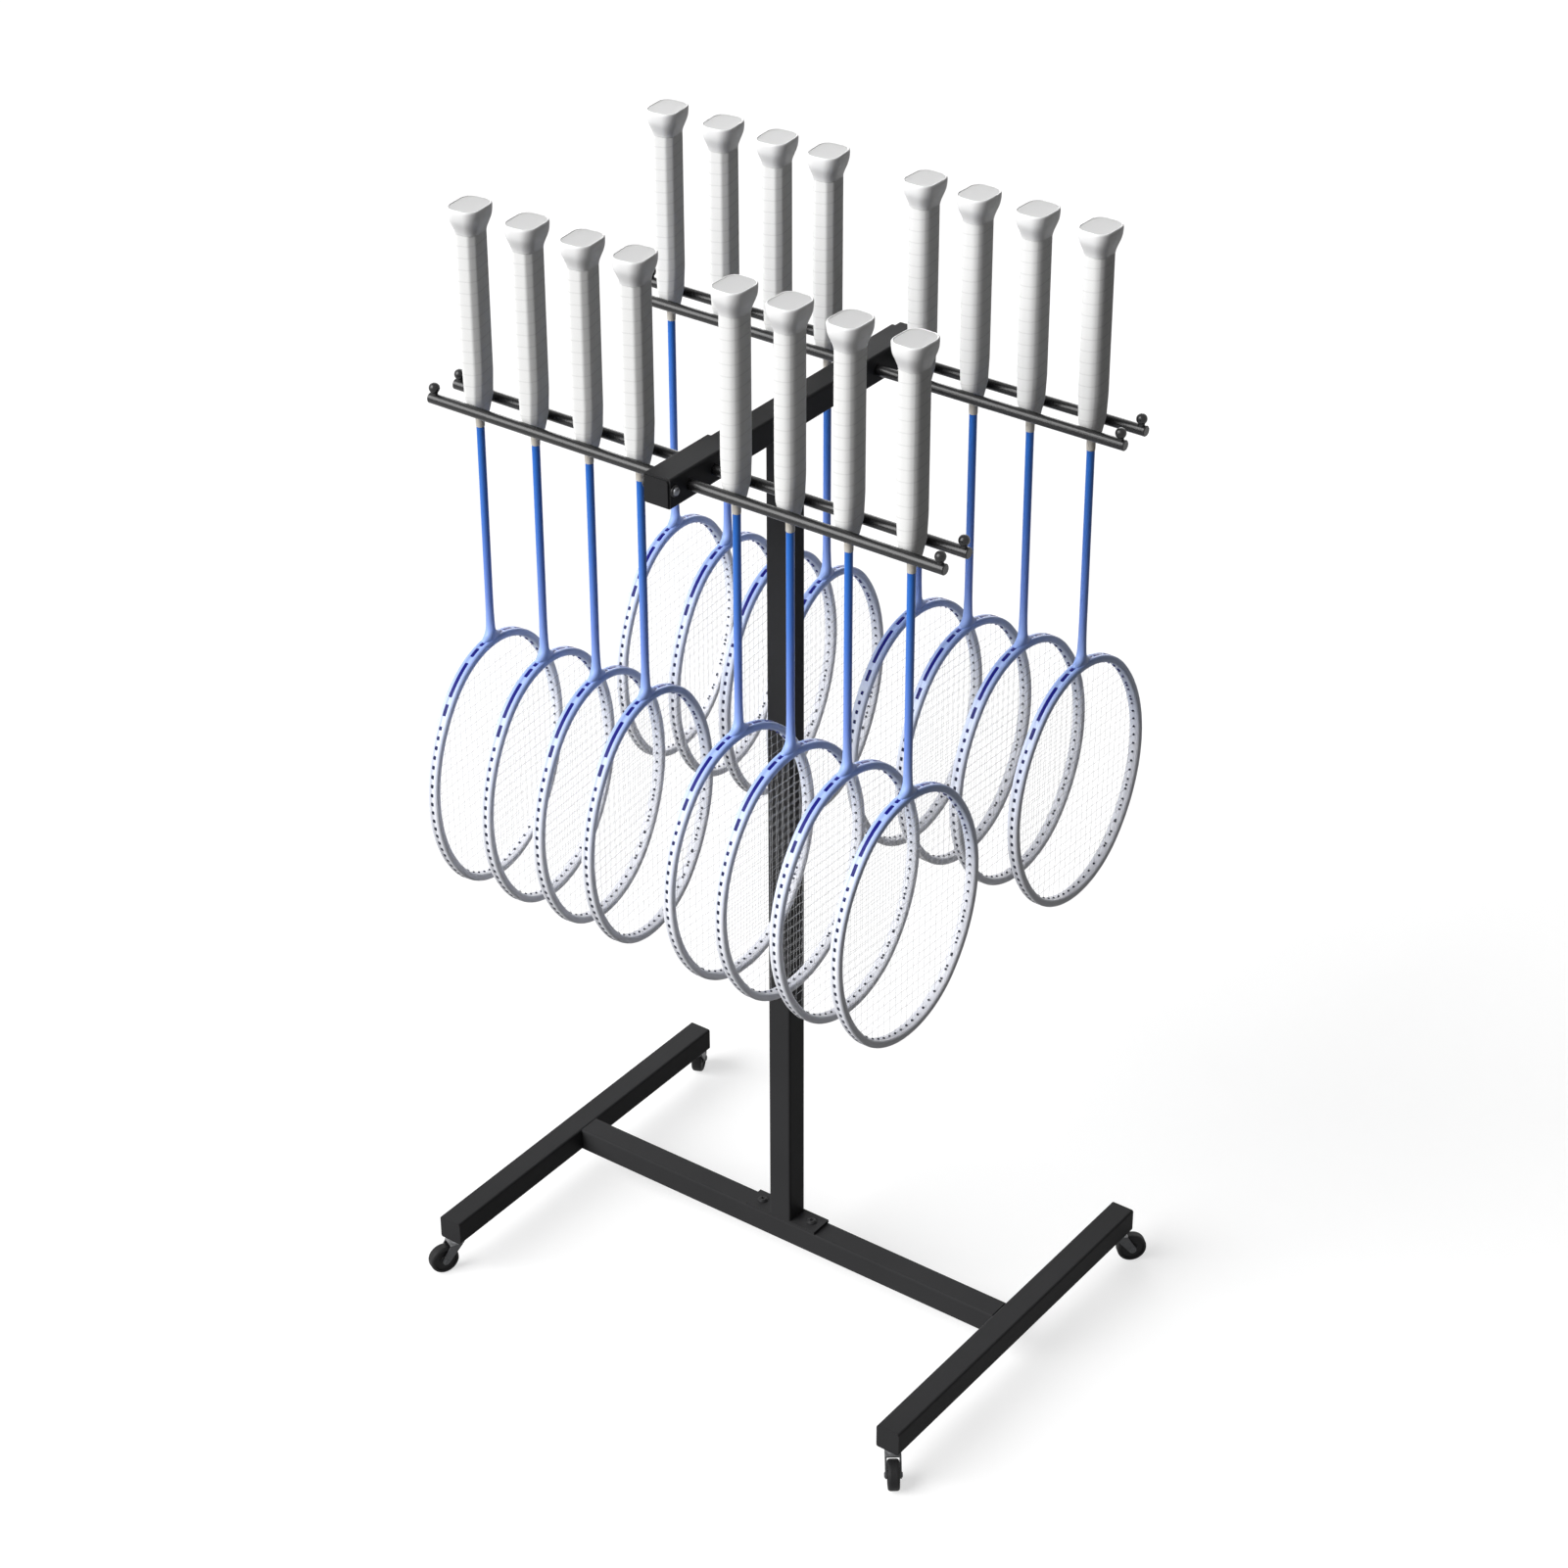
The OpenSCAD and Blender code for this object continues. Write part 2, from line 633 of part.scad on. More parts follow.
// Half width of the string bed at a height z from its middle
function bed_half_width(z) = let (
    inner_end_r = head_end_r - frame_t,
    inner_side_r = side_r - frame_t
) z <= end_centre + inner_end_r * cos(end_sweep / 2)
    ? sqrt(pow(inner_side_r, 2) - z * z) - side_centre
    : sqrt(pow(inner_end_r, 2) - pow(z - end_centre, 2));

// The strings, as a flat net that ends close to the frame's inner face
module string_bed() {
    bed_w = head_half_w - frame_t;
    bed_h = head_half_h - frame_t;
    half = string_d / 2;
    linear_extrude(string_d, center = true) {
        for (side = [-1, 1], y = [string_pitch / 2 : string_pitch : bed_w - string_pitch / 3]) {
            h = bed_half_height(y + half) - slack;
            translate([side * y - half, -h]) square([string_d, 2 * h]);
        }
        for (side = [-1, 1], z = [string_pitch / 2 : string_pitch : bed_h - string_pitch / 3]) {
            w = bed_half_width(z + half) - slack;
            translate([-w, side * z - half]) square([2 * w, string_d]);
        }
    }
}

// Turns a flat drawing in x and y into the plane of the racket's head, y across and z up
module in_head_plane() {
    translate([0, 0, head_mid_h]) rotate([90, 0, 90]) children();
}

module racket_frame() {
    shaft_r = shaft_d / 2;
    throat_z = head_half_h - 2;
    color(BLUE) in_head_plane() {
        for (end = [-1, 1]) {
            frame_arc([0, end * end_centre], head_end_r, end * 90, end_sweep, 0);
            frame_arc([-end * side_centre, 0], side_r, end == 1 ? 0 : 180,
                180 - end_sweep + seam_lap, seam_skin);
        }
    }
    color(WHITE) in_head_plane() string_bed();
    color(BLUE) difference() {
        union() {
            translate([0, 0, head_top_h])
                cylinder(r = shaft_r, h = shaft_socket - cone_length - head_top_h - 1);
            in_head_plane() linear_extrude(shaft_d + 1.6, center = true) difference() {
                translate([-shaft_r - throat_fillet, throat_z - 4])
                    square([2 * (shaft_r + throat_fillet), throat_fillet + 6]);
                for (side = [-1, 1])
                    translate([side * (shaft_r + throat_fillet + 0.2), throat_z + throat_fillet + 2])
                        circle(r = throat_fillet);
            }
        }
        in_head_plane() translate([0, end_centre])
            cylinder(r = head_end_r + slack, h = 2 * frame_depth, center = true, $fn = 128);
    }
}

leg(-1);  // left_leg
leg(1);  // right_leg
crossbeam();
leg_end_caps();
mast();
mast_foot_plate();
foot_plate_bolts();
crossbar();
crossbar_end_caps();
crossbar_bolts();
rod(0);  // rod_front_outer
rod(1);  // rod_front_inner
rod(2);  // rod_back_inner
rod(3);  // rod_back_outer
rod_ball_stops();
caster_stems();
for (corner = [0 : 3]) {
    caster_fork(corner);
    caster_axle(corner);
    caster_wheel(corner);
}
for (row = [0, 1], i = [0 : RACKETS_IN_ROW - 1]) {
    name = str("racket_", ROWS[row], "_", i + 1);
    at_racket(row, i) racket_grip();
    at_racket(row, i) racket_frame();
}
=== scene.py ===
"""Looks of the racket display stand: a powder-coated stand on casters with sixteen rackets on it.

Lengths are in millimetres, and MM turns them into metres. Where a comment says so, they are in
metres from the start. A racket is made in a frame of its own: Z runs up its shaft from the lower
end of the grip, and X runs across its string bed.
"""

import math

import bmesh
import bpy
from mathutils import Matrix, Vector


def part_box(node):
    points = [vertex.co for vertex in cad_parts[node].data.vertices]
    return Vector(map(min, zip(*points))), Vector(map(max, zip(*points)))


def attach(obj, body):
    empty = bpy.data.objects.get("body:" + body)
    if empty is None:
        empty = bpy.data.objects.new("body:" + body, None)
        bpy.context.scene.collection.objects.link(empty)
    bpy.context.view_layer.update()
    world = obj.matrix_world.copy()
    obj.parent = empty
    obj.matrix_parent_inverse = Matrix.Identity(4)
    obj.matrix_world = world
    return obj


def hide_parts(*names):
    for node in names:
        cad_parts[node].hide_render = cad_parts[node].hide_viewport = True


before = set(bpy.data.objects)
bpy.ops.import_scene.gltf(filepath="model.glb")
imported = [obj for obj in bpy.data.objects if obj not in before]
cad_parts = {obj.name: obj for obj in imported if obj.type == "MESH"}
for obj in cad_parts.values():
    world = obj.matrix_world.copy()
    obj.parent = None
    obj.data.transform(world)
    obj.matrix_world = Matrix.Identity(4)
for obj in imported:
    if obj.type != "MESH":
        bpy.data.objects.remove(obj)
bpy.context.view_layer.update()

MM = 0.001

# Rackets: the rows that they hang in, half of each row left of the crossbar and half right of it.
# Each side has its turn in degrees, and the radius of its grips' edges as a share of the bevel.
ROWS = ("front", "back")
IN_ROW = 8
TURN = {"left": 5.2, "right": -1.8}
ROUNDNESS = {"left": 0.8, "right": 1.68}

# Grip: half width, half depth and bevel at some heights, and the heights of its sections
GRIP_TOP = 172.5
HANDLE = ((0.0, 6.5, 8.5, 3.1), (4.0, 7.4, 9.8, 3.59), (17.45, 9.6, 13.5, 4.89),
          (41.0, 11.0, 13.5, 5.2), (GRIP_TOP, 11.0, 13.5, 5.2))
GRIP_LEVELS = (0.0, 2.0, 4.0, 7.0, 12.0, 15.5, 17.45, 19.5, 24.0, 32.0, 38.0, 41.0, 44.0,
               *(60.0 + 12.5 * k for k in range(10)))

# Wrap: how far one turn climbs, and the share of a turn over which its lap fades
WRAP_PITCH = 11.0
LAP = 0.13

# Butt cap: height, half sizes and corner radius of its sections, from its lower end up and down
# into the lid, and the heights between which the sunk lid lies
BUTT_TOP = 197.0
BUTT = ((172.6, 11.0, 13.5, 8.6), (172.75, 11.3, 13.8, 8.9), (174.5, 11.5, 14.05, 9.0),
        (177.0, 12.2, 14.8, 9.3), (180.0, 13.2, 15.9, 9.8), (183.5, 14.4, 17.3, 10.4),
        (186.5, 15.2, 18.3, 10.9), (189.0, 15.6, 18.8, 11.2), (192.0, 15.85, 19.1, 11.35),
        (195.0, 15.95, 19.2, 11.4), (196.2, 15.75, 19.0, 11.2), (196.8, 15.3, 18.55, 10.8),
        (BUTT_TOP, 14.8, 18.05, 10.4), (196.9, 14.4, 17.65, 10.0), (196.55, 14.1, 17.35, 9.8),
        (196.45, 9.0, 12.0, 5.0))
LID = (196.3, 196.7)

# Share of its colour with which the white plastic lights its neighbours
BOUNCE = 0.25

# Shaft: its radius, and the height that it reaches inside the grip
SHAFT_R = 3.7
SHAFT_TOP = 40.0

# Cone between grip and shaft, as (radius, height)
CONE = ((3.9, -0.1), (4.45, -0.1), (4.45, -0.9), (4.2, -1.3), (4.1, -4.0), (4.0, -12.0),
        (3.9, -12.8), (3.8, -13.0), (SHAFT_R - 0.1, -13.0))

# Head: heights of the hoop's outer face at the throat, of the head's middle and of its far end
HEAD_TOP = -226.2
HEAD_MID = -352.1
HEAD_LOW = 2 * HEAD_MID - HEAD_TOP

# Throat: the shaft's sections, as heights above HEAD_TOP. From the first height to the second the
# shaft grows by a length, on a curve of that power: wider along the hoop, and thicker across it.
# It gets no wider than THROAT_HALF to either side.
THROAT_LEVELS = (40, 26, 16, 11, 8, 5.5, 3.5, 2, 0.8, -0.4, -1.6, -3.5)
WIDENS = (14, 0, 11.0, 3.2)
THICKENS = (34, 4, 1.3, 1.5)
THROAT_HALF = 12.5

# Hoop: thickness in the plane of the bed, depth across it, and radius of its edges
HOOP_T = 7.0
HOOP_DEPTH = 11.5
HOOP_EDGE = 2.4

# String groove in the outer face, and one side of it as (outward, past the half width)
GROOVE_HALF = 1.7
GROOVE_DEPTH = 0.45
GROOVE_SIDE = ((0, 0.5), (-0.12, 0), (-GROOVE_DEPTH, -0.6))

# Outer face of the hoop: four arcs. Those of the ends have their centres above and below the
# head's middle, and those of the long sides have them beside it. The inner face runs parallel,
# and its arcs meet at INNER_MEET, as (y, z) from the middle.
END_R = 90.0
END_CENTRE = 35.9
END_SWEEP = math.radians(98.1258)
SIDE_R = 144.79
SIDE_CENTRE = 41.39
SIDE_SWEEP = math.pi - END_SWEEP
INNER_END_R = END_R - HOOP_T
INNER_SIDE_R = SIDE_R - HOOP_T
INNER_MEET = (INNER_END_R * math.sin(END_SWEEP / 2),
              END_CENTRE + INNER_END_R * math.cos(END_SWEEP / 2))

# Strings: how far they weave to either side, how far they run on into the hoop, and the distance
# from their ends in which they stay straight
MAINS = 22
MAIN_PITCH = 8.4
CROSSES = 22
CROSS_PITCH = 9.2
STRING_R = 0.34
WEAVE = 0.33
STRING_TAIL = 2
STRAIGHT_END = 5

# Collar of a grommet at the hoop's inner face: radius towards the bed and towards the hoop
COLLAR_NARROW = 1.0
COLLAR_WIDE = 1.25
COLLAR_LENGTH = 2.2

# Dark strips in the groove, from and to a distance from the throat along the outer face, and the
# row of short dashes that goes on from there
STRIPS = ((6.0, 17.0), (21.0, 32.0), (40.0, 76.0), (83.0, 94.0))
STRIP_STEP = 3
FIRST_DASH = 105.6
LAST_DASH = 357.0
DASH_PITCH = 9.3
DASH_LENGTH = 3.5

# Section of strips and dashes: half width and top over the outer face, depth below the groove,
# bevel, and share of the width that the flat top takes up
STRIP_SIZE = (1.75, 0.02)
DASH_SIZE = (1.45, -0.02)
MARK_SINK = 0.3
MARK_BEVEL = 0.12
MARK_FLAT = 0.8

# Their tapered ends: length, and share of the width that is left at the tip
TAPER_LENGTH = 0.5
TAPER_TIP = 0.7

# One end of a cross bolt, as (radius, distance from the crossbar's middle): flange and dome. The
# dome's bright grey is a painted highlight, and goes over into the blackened flange between the
# radii of BOLT_BLEND.
BOLT_FLANGE_R = 5.25
BOLT_DOME_R = 3.7
BOLT_BLEND = (3.8, 4.2)
BOLT = ((3.0, 14.1), (BOLT_FLANGE_R, 14.1), (BOLT_FLANGE_R, 15.2), (4.9, 15.7), (4.2, 15.8),
        (BOLT_DOME_R, 15.9), (BOLT_DOME_R, 16.9), (3.3, 17.6), (2.2, 18.0), (0.0, 18.1))

# Upper side of a caster's fork above the floor, and the depth of the band under it that is painted
# bright as a highlight of the light from above, in metres
FORK_TOP = 0.0326
FORK_HIGHLIGHT_BAND = 0.0006

# Near black finishes. The roughness runs from smooth to rough with grains of that size, and the
# grey level from dark to light with them or, if there is a cloud, with patches of that size.
# Grain, relief and cloud are in metres.
DARK_FINISHES = {
    "powder_coat": {"dark": 46, "light": 54, "gloss": 0.03, "smooth": 0.42, "rough": 0.58,
                    "grain": 0.0011, "relief": 0.00006, "cloud": 0.09},
    "rod_coat": {"dark": 25, "light": 31, "gloss": 0.4, "smooth": 0.22, "rough": 0.34,
                 "grain": 0.0011, "relief": 0.00004, "cloud": 0.05},
    "cap_plastic": {"dark": 40, "light": 50, "gloss": 0.05, "smooth": 0.5, "rough": 0.65,
                    "grain": 0.0006, "relief": 0.00003},
    "blackened_steel": {"dark": 33, "light": 44, "gloss": 0.12, "smooth": 0.42, "rough": 0.58,
                        "grain": 0.0015},
    "wheel_rubber": {"dark": 20, "light": 32, "gloss": 0.2, "smooth": 0.5, "rough": 0.7,
                     "grain": 0.0012, "relief": 0.00005},
}

# Finish and slot of the CAD nodes whose names start so. The other nodes are powder-coated.
NODE_LOOKS = {
    "rod_": ("rod_coat", "powder_coat"),
    "leg_end_caps": ("cap_plastic", "cap_plastic"),
    "crossbar_end_caps": ("cap_plastic", "cap_plastic"),
    "foot_plate_bolts": ("blackened_steel", "blackened_steel"),
    "caster_stems": ("blackened_steel", "blackened_steel"),
    "fork_": ("zinc_plate", "zinc_plate"),
    "axle_": ("zinc_plate", "zinc_plate"),
    "wheel_": ("wheel_rubber", "wheel_rubber"),
}

# Slot of each kind of piece in a racket, and the kinds that stand for the CAD node of that name
RACKET_SLOTS = {"cap": "butt_cap", "cone": "butt_cap", "frame": "frame_lacquer",
                "strings": "string", "grommets": "grommet", "grip": "grip_wrap"}
REPLACING = ("frame", "grip")

# Camera, as the photograph shows the stand: its place in metres, and its turn, drop and roll in
# degrees
CAMERA_PLACE = (1.7362, -2.3792, 2.3775)
CAMERA_TURN = 36.156
CAMERA_DROP = 31.61
CAMERA_ROLL = -0.164
LENS = 85.64
SENSOR = 36

# Lamps, as direction, strength and width of the disc in degrees: a broad one from the front left
# and above, and a weaker one from the back left. A weak even light comes from all round.
LAMPS = {"key": ((-0.5, -0.86, 0.64), 4.4, 50), "fill": ((-0.6, 0.78, 0.05), 2.0, 50)}
AMBIENT = 0.085

# Floor: half its side in metres, how bright a grey it is to the light that it returns and to the
# camera, and the glow that makes it white to the camera
FLOOR_HALF = 12.0
FLOOR_RETURN = 0.08
FLOOR_SEEN = 0.5
FLOOR_GLOW = 0.62


def srgb(red, green, blue):
    """A colour as a screen shows it, 0 to 255, as the linear colour that the shaders take."""
    def linear(value):
        value /= 255
        return value / 12.92 if value <= 0.04045 else ((value + 0.055) / 1.055) ** 2.4
    return (linear(red), linear(green), linear(blue), 1.0)


def dark_grey(level):
    """A screen grey with a trace of blue."""
    return srgb(level, level, level + 1)


def linear_grey(brightness):
    """A linear grey from 0, black, to 1, white."""
    return (brightness, brightness, brightness, 1.0)


class Value:
    """An output socket of a finish. Arithmetic on it adds Math nodes."""

    def __init__(self, finish, socket):
        self.finish = finish
        self.socket = socket

    def __add__(self, other):
        return self.finish.calc("ADD", self, other)

    def __sub__(self, other):
        return self.finish.calc("SUBTRACT", self, other)

    def __rsub__(self, other):
        return self.finish.calc("SUBTRACT", other, self)

    def __mul__(self, other):
        return self.finish.calc("MULTIPLY", self, other)

    def __gt__(self, other):
        return self.finish.calc("GREATER_THAN", self, other)

    __radd__ = __add__
    __rmul__ = __mul__


class Finish:
    """A material: one Principled shader and the nodes that feed it."""

    def __init__(self, name, colour, roughness, **sockets):
        self.material = bpy.data.materials.new(name)
        self.material.use_nodes = True
        self.tree = self.material.node_tree
        self.shader = self.tree.nodes["Principled BSDF"]
        self.material.diffuse_color = colour
        self.set("Base Color", colour)
        self.set("Roughness", roughness)
        for socket, value in sockets.items():
            self.set(socket.replace("_", " "), value)

    def feed(self, socket, value):
        if isinstance(value, Value):
            self.tree.links.new(value.socket, socket)
        else:
            socket.default_value = value

    def set(self, socket, value):
        self.feed(self.shader.inputs[socket], value)

    def node(self, kind, settings=None, inputs=None, output=0):
        """The output of a new node. Settings are set first, and stops go to its colour ramp."""
        made = self.tree.nodes.new(kind)
        for name, value in (settings or {}).items():
            if name == "stops":
                ramp = made.color_ramp
                while len(ramp.elements) < len(value):
                    ramp.elements.new(1)
                for element, (place, colour) in zip(ramp.elements, value):
                    element.position = place
                    element.color = colour
            else:
                setattr(made, name, value)
        for name, value in (inputs or {}).items():
            self.feed(made.inputs[name], value)
        return Value(self, made.outputs[output])

    def calc(self, operation, *operands):
        return self.node("ShaderNodeMath", {"operation": operation}, dict(enumerate(operands)))

    def place(self):
        """Object coordinates, in metres in the stand's frame."""
        return self.node("ShaderNodeTexCoord", output="Object")

    def speckle(self, grain, detail=2.0):
        """Noise from 0 to 1 whose grains are about so many metres across."""
        return self.node("ShaderNodeTexNoise", inputs={
            "Vector": self.place(), "Scale": 1 / grain, "Detail": detail})

    def own(self, name):
        """The piece's own attribute of that name."""
        return self.node("ShaderNodeAttribute", {"attribute_name": name}, output="Fac")

    def spread(self, value, low, high):
        """The value as a share of the way from low to high, held between 0 and 1."""
        return self.node("ShaderNodeMapRange", inputs={
            "Value": value, "From Min": low, "From Max": high})

    def ramp(self, value, *stops):
        return self.node("ShaderNodeValToRGB", {"stops": stops}, {"Fac": value})

    def mix(self, mask, first, second):
        return self.node("ShaderNodeMix", {"data_type": "RGBA"}, {0: mask, 6: first, 7: second},
                         output=2)

    def bump(self, height, relief):
        """A relief of that many metres."""
        self.set("Normal", self.node("ShaderNodeBump", inputs={
            "Height": height, "Distance": relief}))


class Surround(Finish):
    """The world's own nodes, made the same way as a finish."""

    def __init__(self, world):
        self.tree = world.node_tree
        self.shader = self.tree.nodes["Background"]


def seen_directly(finish):
    """1 on camera, mirror and glass rays, and 0 on the rays that light the object."""
    camera, mirror, glass = [finish.node("ShaderNodeLightPath", output=name)
                             for name in ("Is Camera Ray", "Is Glossy Ray",
                                          "Is Transmission Ray")]
    return camera + mirror + glass > 0.5


def shown(finish, colour):
    """The colour itself to the camera, and a darker one to the light thrown on neighbours."""
    return finish.mix(finish.node("ShaderNodeLightPath", output="Is Diffuse Ray"), colour,
                      finish.mix(BOUNCE, linear_grey(0), colour))


def dark_finish(name, dark, light, gloss, smooth, rough, grain, relief=None, cloud=None):
    """One of the near black finishes."""
    finish = Finish(name, dark_grey((dark + light) / 2), (smooth + rough) / 2,
                    Specular_IOR_Level=gloss)
    grains = finish.speckle(grain, detail=3.0)
    patches = finish.speckle(cloud) if cloud else grains
    finish.set("Base Color", finish.mix(patches, dark_grey(dark), dark_grey(light)))
    finish.set("Roughness", smooth + (rough - smooth) * grains)
    if relief:
        finish.bump(grains, relief)
    return finish.material


def bolt_steel():
    """Blackened bolt head whose raised centre is painted bright as a highlight."""
    finish = Finish("bolt_steel", srgb(104, 105, 108), 0.34, Specular_IOR_Level=0.3)
    grain = finish.speckle(0.0015, detail=3.0)
    flange = finish.spread(finish.own("from_axis"), *BOLT_BLEND)
    # The dome's brighter metal grey is a painted highlight on the blackened head.
    centre_highlight = finish.mix(grain, srgb(88, 89, 92), srgb(122, 123, 126))
    finish.set("Base Color", finish.mix(flange, centre_highlight, dark_grey(22)))
    finish.set("Metallic", 0.85 - 0.85 * flange)
    finish.set("Roughness", 0.28 + 0.14 * grain)
    return finish.material


def zinc_plate():
    """Dull grey cheeks under a bridge whose upper edge is painted bright, as a highlight of the
    light from above.
    """
    finish = Finish("zinc_plate", srgb(76, 77, 79), 0.45, Metallic=0.6)
    cloud = finish.speckle(0.004, detail=3.0)
    height = finish.node("ShaderNodeSeparateXYZ", inputs={"Vector": finish.place()}, output="Z")
    # The bright grey along the bridge's upper edge is a painted highlight.
    highlight_band = finish.spread(height, FORK_TOP - FORK_HIGHLIGHT_BAND, FORK_TOP)
    dull = finish.mix(cloud, srgb(56, 57, 59), srgb(78, 79, 81))
    bright = finish.mix(cloud, srgb(118, 119, 121), srgb(160, 161, 163))
    finish.set("Base Color", finish.mix(highlight_band, dull, bright))
    finish.set("Roughness", 0.36 + 0.18 * cloud)
    finish.bump(finish.speckle(0.0009, detail=3.0), 0.00003)
    return finish.material


def grip_wrap():
    """White wrap. Where one turn laps over the next, a faint step runs round the handle, with
    painted shade along it.
    """
    finish = Finish("grip_wrap", srgb(244, 244, 243), 0.62, Specular_IOR_Level=0.12)
    fibre = finish.speckle(0.0007, detail=4.0)
    angle = finish.calc("ARCTAN2", finish.own("own_y"), finish.own("own_x"))
    turns = finish.own("own_z") * (1 / WRAP_PITCH) - angle * (0.5 / math.pi)
    lap_step_and_shade = finish.spread(finish.calc("FRACT", turns), 0.0, LAP)
    white = finish.mix(fibre, srgb(231, 231, 230), srgb(241, 241, 240))
    # The darker grey along the lap is painted shade of the step; the bump gives the step itself.
    finish.set("Base Color", shown(finish, finish.mix(lap_step_and_shade, srgb(219, 219, 218), white)))
    finish.set("Roughness", 0.6 + 0.15 * fibre)
    finish.bump(lap_step_and_shade + 0.2 * fibre, 0.00003)
    return finish.material


def butt_plastic():
    """White plastic, a little whiter at its wide end, with a light grey lid."""
    finish = Finish("butt_cap", srgb(238, 238, 238), 0.4, Specular_IOR_Level=0.25)
    sides = finish.ramp(finish.spread(finish.own("rise"), GRIP_TOP, BUTT_TOP),
                        (0.0, srgb(228, 228, 228)), (0.4, srgb(232, 232, 232)),
                        (0.6, srgb(244, 244, 244)), (1.0, srgb(248, 248, 248)))
    colour = finish.mix(finish.own("lid"), sides, srgb(189, 189, 189))
    finish.set("Base Color", shown(finish, colour))
    finish.set("Roughness", 0.34 + 0.12 * finish.speckle(0.0009, detail=3.0))
    return finish.material


def cone_plastic():
    finish = Finish("cone_plastic", srgb(222, 216, 206), 0.5, Specular_IOR_Level=0.15)
    grain = finish.speckle(0.002)
    finish.set("Base Color", finish.mix(grain, srgb(216, 209, 198), srgb(228, 223, 214)))
    return finish.material


def frame_lacquer():
    """Blue on the shaft, which fades by way of a pale violet blue at the throat to near white."""
    finish = Finish("frame_lacquer", srgb(120, 160, 240), 0.36, Specular_IOR_Level=0.18,
                    Coat_Weight=0.08, Coat_Roughness=0.15)
    colour = finish.ramp(finish.spread(finish.own("rise"), HEAD_LOW, 0.0),
                         (0.0, srgb(232, 233, 240)), (0.25, srgb(240, 242, 250)),
                         (0.42, srgb(214, 224, 248)), (0.527, srgb(160, 186, 246)),
                         (0.62, srgb(122, 152, 230)), (0.78, srgb(78, 128, 218)),
                         (0.92, srgb(52, 116, 208)), (1.0, srgb(40, 110, 206)))
    finish.set("Base Color", colour)
    finish.set("Roughness", 0.32 + 0.1 * finish.speckle(0.0012))
    return finish.material


def racket_string():
    """Clear nylon, which lets most of what lies behind it through."""
    finish = Finish("string", srgb(250, 250, 251), 0.25, Specular_IOR_Level=0.3, Alpha=0.24)
    twist = finish.speckle(0.0016)
    finish.set("Base Color", finish.mix(twist, srgb(246, 247, 249), srgb(253, 253, 254)))
    finish.set("Roughness", 0.2 + 0.12 * twist)
    return finish.material


def grommet_plastic():
    """Dark plastic: near black at the far end of the head, and navy blue at the throat."""
    finish = Finish("grommet", srgb(26, 30, 110), 0.42, Specular_IOR_Level=0.15)
    colour = finish.ramp(finish.spread(finish.own("rise"), HEAD_LOW, HEAD_TOP),
                         (0.0, srgb(46, 48, 60)), (0.6, srgb(38, 42, 62)),
                         (0.8, srgb(20, 24, 96)), (0.92, srgb(16, 20, 120)))
    finish.set("Base Color", colour)
    finish.set("Roughness", 0.36 + 0.14 * finish.speckle(0.0015))
    return finish.material


def floor_finish():
    """White where it is seen, and dark grey to the light that it returns to the object."""
    finish = Finish("floor", linear_grey(FLOOR_SEEN), 0.9, Specular_IOR_Level=0.0)
    seen = seen_directly(finish)
    finish.set("Base Color",
               finish.mix(seen, linear_grey(FLOOR_RETURN), linear_grey(FLOOR_SEEN)))
    finish.set("Emission Color", finish.mix(seen, linear_grey(0), linear_grey(FLOOR_GLOW)))
    finish.set("Emission Strength", 1.0)
    return finish.material


def add_outline(shape, points):
    """New points in a shape, joined to a closed outline, as a list of points and one of edges."""
    verts = [shape.verts.new(point) for point in points]
    return verts, [shape.edges.new(pair) for pair in zip(verts, verts[1:] + verts[:1])]


def loft(rings):
    """A skin over closed rings of points, each ring extruded from the one before it."""
    shape = bmesh.new()
    column = shape.verts.layers.int.new("column")
    verts, edges = add_outline(shape, rings[0])
    for number, vert in enumerate(verts):
        vert[column] = number
    for points in rings[1:]:
        made = bmesh.ops.extrude_edge_only(shape, edges=edges)["geom"]
        fresh = {g for g in made if isinstance(g, bmesh.types.BMVert)}
        edges = [g for g in made
                 if isinstance(g, bmesh.types.BMEdge) and fresh.issuperset(g.verts)]
        for vert in fresh:
            vert.co = points[vert[column]]
    return shape


def turned(profile, segments=32):
    """A shape turned about the Z axis from a list of (radius, height)."""
    shape = bmesh.new()
    verts = [shape.verts.new((radius, 0, height)) for radius, height in profile]
    edges = [shape.edges.new(pair) for pair in zip(verts, verts[1:])]
    bmesh.ops.spin(shape, geom=verts + edges, cent=(0, 0, 0), axis=(0, 0, 1), angle=2 * math.pi,
                   steps=segments, use_merge=True)
    bmesh.ops.remove_doubles(shape, verts=shape.verts[:], dist=0.001)
    return shape


def close_up(shape):
    """Fills the open ends of a skin and points its faces outwards."""
    bmesh.ops.holes_fill(shape, edges=[e for e in shape.edges if e.is_boundary])
    bmesh.ops.recalc_face_normals(shape, faces=shape.faces[:])
    return shape


def to_mesh(name, shape, material, smooth, **marks):
    """The finished mesh, smooth where its faces meet at less than so many degrees.

    Each mark is an attribute of its points, worked out from their places.
    """
    for face in shape.faces:
        face.smooth = True
    mesh = bpy.data.meshes.new(name)
    shape.to_mesh(mesh)
    shape.free()
    mesh.set_sharp_from_angle(angle=math.radians(smooth))
    mesh.materials.append(material)
    for mark, rule in marks.items():
        values = mesh.attributes.new(mark, "FLOAT", "POINT")
        for point, vertex in zip(values.data, mesh.vertices):
            point.value = rule(vertex.co)
    return mesh


def joined(name, meshes):
    """One mesh out of several that share a material and marks."""
    shape = bmesh.new()
    for mesh in meshes:
        shape.from_mesh(mesh)
    whole = meshes[0].copy()
    whole.name = name
    shape.to_mesh(whole)
    shape.free()
    for mesh in meshes:
        bpy.data.meshes.remove(mesh)
    return whole


def add_piece(name, mesh, body, slot, *nodes):
    """A piece that rides on a body, in place of the CAD nodes that are named."""
    piece = bpy.data.objects.new(name, mesh)
    bpy.context.scene.collection.objects.link(piece)
    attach(piece, body)
    if nodes:
        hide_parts(*nodes)


